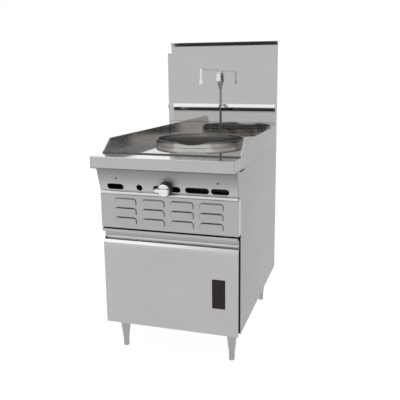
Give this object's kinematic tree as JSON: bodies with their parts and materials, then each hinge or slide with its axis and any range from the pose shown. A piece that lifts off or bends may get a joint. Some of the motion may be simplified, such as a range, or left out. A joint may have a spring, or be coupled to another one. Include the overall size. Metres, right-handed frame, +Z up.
{
  "type": "wok range",
  "caption": "Free-standing gas wok range with a ring well, tall backguard, swing spout, louvred front and a storage cabinet with a door.",
  "frame": {"origin": "centre of the bounding box, on the floor", "axes": "+X to the range's right as seen from the front, +Y to its back, +Z up"},
  "size_m": [0.61, 0.974, 1.422],
  "materials": {
    "brushed_steel": "satin, brushed",
    "polished_steel": "polished, almost a mirror",
    "galvanised": "galvanised",
    "chrome": "polished",
    "brass": "satin",
    "iron": "rough",
    "black_plastic": "gloss",
    "copper": "satin",
    "dark_enamel": "gloss"
  },
  "bodies": {
    "range": {"back_panel": "galvanised", "backguard_lower_panel": "brushed_steel", "backguard_rear_panel": "brushed_steel", "backguard_side_left": "brushed_steel", "backguard_side_right": "brushed_steel", "backguard_upper_panel": "brushed_steel", "base_pan": "galvanised", "burner_box_floor": "galvanised", "burner_head": "iron", "burner_stand": "galvanised", "burner_venturi": "iron", "control_panel": "brushed_steel", "door_catch": "black_plastic", "door_frame": "dark_enamel", "door_hinge_lower": "galvanised", "door_hinge_upper": "galvanised", "faucet_body": "chrome", "faucet_bracket": "chrome", "faucet_riser": "polished_steel", "fire_chamber": "iron", "front_rail": "brushed_steel", "gas_manifold": "iron", "gas_supply_pipe": "iron", "gas_valve": "brass", "leg_channel_front": "galvanised", "leg_channel_rear": "galvanised", "leg_front_left": "brushed_steel", "leg_front_right": "brushed_steel", "leg_rear_left": "brushed_steel", "leg_rear_right": "brushed_steel", "louvre_panel": "brushed_steel", "manifold_bracket": "galvanised", "pilot_burner": "brass", "pilot_tube": "copper", "pilot_valve": "brass", "rear_frame": "galvanised", "side_panel_left": "brushed_steel", "side_panel_right": "brushed_steel", "splash_back": "polished_steel", "splash_left": "polished_steel", "splash_right": "polished_steel", "water_inlet": "brass", "water_tube": "copper", "wok_deck": "polished_steel"},
    "door": {"door_skin": "brushed_steel", "door_pull": "brushed_steel", "door_liner": "galvanised", "blank_plate": "dark_enamel"},
    "knob": {"control_knob": "chrome", "knob_skirt": "black_plastic", "valve_stem": "brass"},
    "spout": {"spout_collar": "chrome", "faucet_spout": "chrome", "spout_nozzle": "chrome"},
    "lever": {"faucet_lever": "chrome"},
    "ring": {"wok_ring": "polished_steel"},
    "foot_front_left": {"foot_front_left": "brushed_steel"},
    "foot_front_right": {"foot_front_right": "brushed_steel"},
    "foot_rear_left": {"foot_rear_left": "brushed_steel"},
    "foot_rear_right": {"foot_rear_right": "brushed_steel"}
  },
  "joints": [
    {"name": "door_hinge", "type": "hinge", "parent": "range", "child": "door", "pos_m": [-0.2985, -0.386, 0.3], "axis": [0, 0, -1], "range_deg": [0, 110]},
    {"name": "knob_turn", "type": "hinge", "parent": "range", "child": "knob", "pos_m": [0, -0.437, 0.777], "axis": [0, -1, 0], "range_deg": [0, 90]},
    {"name": "spout_swing", "type": "hinge", "parent": "range", "child": "spout", "pos_m": [0, 0.3823, 1.25], "axis": [0, 0, 1], "range_deg": [-90, 90]},
    {"name": "lever_turn", "type": "hinge", "parent": "range", "child": "lever", "pos_m": [0, 0.3933, 1.238], "axis": [0, -1, 0], "range_deg": [0, 90]},
    {"name": "ring_lift", "type": "slide", "parent": "range", "child": "ring", "axis": [0, 0, 1], "range_m": [0, 0.1]},
    {"name": "foot_front_left_screw", "type": "slide", "parent": "range", "child": "foot_front_left", "axis": [0, 0, 1], "range_m": [-0.025, 0]},
    {"name": "foot_front_right_screw", "type": "slide", "parent": "range", "child": "foot_front_right", "axis": [0, 0, 1], "range_m": [-0.025, 0]},
    {"name": "foot_rear_left_screw", "type": "slide", "parent": "range", "child": "foot_rear_left", "axis": [0, 0, 1], "range_m": [-0.025, 0]},
    {"name": "foot_rear_right_screw", "type": "slide", "parent": "range", "child": "foot_rear_right", "axis": [0, 0, 1], "range_m": [-0.025, 0]}
  ]
}
